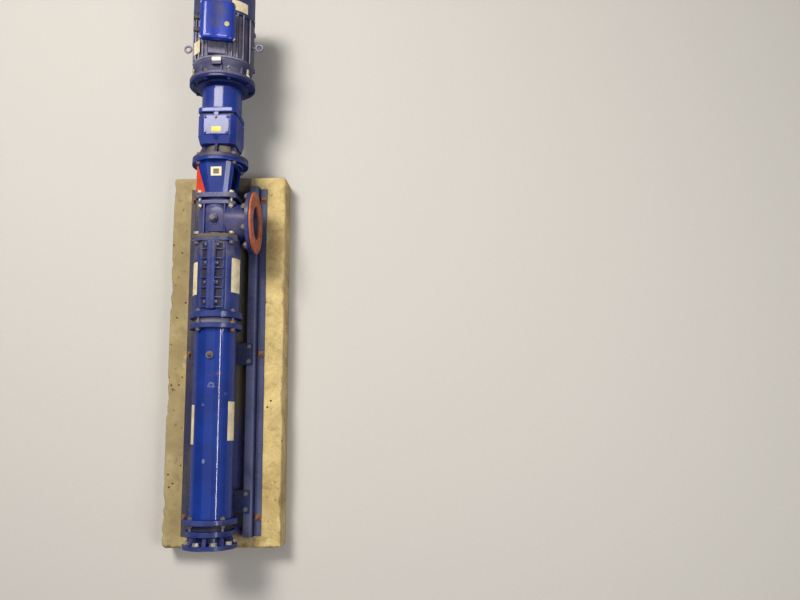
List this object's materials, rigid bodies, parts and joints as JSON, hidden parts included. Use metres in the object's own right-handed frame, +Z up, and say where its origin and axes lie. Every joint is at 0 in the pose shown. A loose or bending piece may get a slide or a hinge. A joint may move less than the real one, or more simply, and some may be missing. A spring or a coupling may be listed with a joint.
{
  "type": "progressing cavity pump set on a concrete plinth",
  "caption": "Single-screw progressing cavity pump with flange gearbox and motor on a steel base and concrete plinth, side inlet, end outlet.",
  "frame": {"origin": "on the floor, under the middle of the set's overall length and width", "axes": "+Z up, +Y along the pump axis towards the motor, +X towards the suction inlet"},
  "size_m": [0.54, 2.576, 0.5747],
  "materials": {
    "concrete": "matte",
    "base_paint": "satin",
    "pump_paint": "gloss",
    "drive_paint": "satin",
    "guard_paint": "satin",
    "lining_rubber": "matte",
    "bright_steel": "satin",
    "gasket": "matte",
    "black_plastic": "matte",
    "probe_brass": "satin",
    "plate": "satin"
  },
  "bodies": {
    "root": {"concrete_plinth": "concrete", "base_rail_left": "base_paint", "base_rail_right": "base_paint", "base_tie_1": "base_paint", "base_tie_2": "base_paint", "base_tie_3": "base_paint", "discharge_saddle": "base_paint", "stator_saddle": "base_paint", "suction_saddle": "base_paint", "discharge_cover": "pump_paint", "discharge_clamp_ring": "pump_paint", "drive_clamp_ring": "pump_paint", "stator_tube": "pump_paint", "stator_lining": "lining_rubber", "rotor": "bright_steel", "coupling_rod": "bright_steel", "drive_shaft": "bright_steel", "access_casing_left": "pump_paint", "access_casing_right": "pump_paint", "suction_casing": "pump_paint", "suction_gasket": "gasket", "seal_housing": "pump_paint", "lantern": "pump_paint", "lantern_guard": "guard_paint", "gearbox_output_flange": "drive_paint", "gearbox_housing": "drive_paint", "gearbox_input_adapter": "drive_paint", "motor_end_shield": "drive_paint", "motor_frame": "drive_paint", "terminal_box": "drive_paint", "terminal_box_lid": "drive_paint", "cable_gland_1": "black_plastic", "cable_gland_2": "black_plastic", "lifting_eye_left": "drive_paint", "lifting_eye_right": "drive_paint", "fan_cowl": "drive_paint", "fan_grille": "drive_paint", "cooling_fan": "black_plastic", "stator_probe": "probe_brass", "suction_plug": "bright_steel", "casing_plate_right": "plate", "casing_plate_left": "plate", "stator_plate_right": "plate", "stator_plate_left": "plate"}
  },
  "joints": []
}
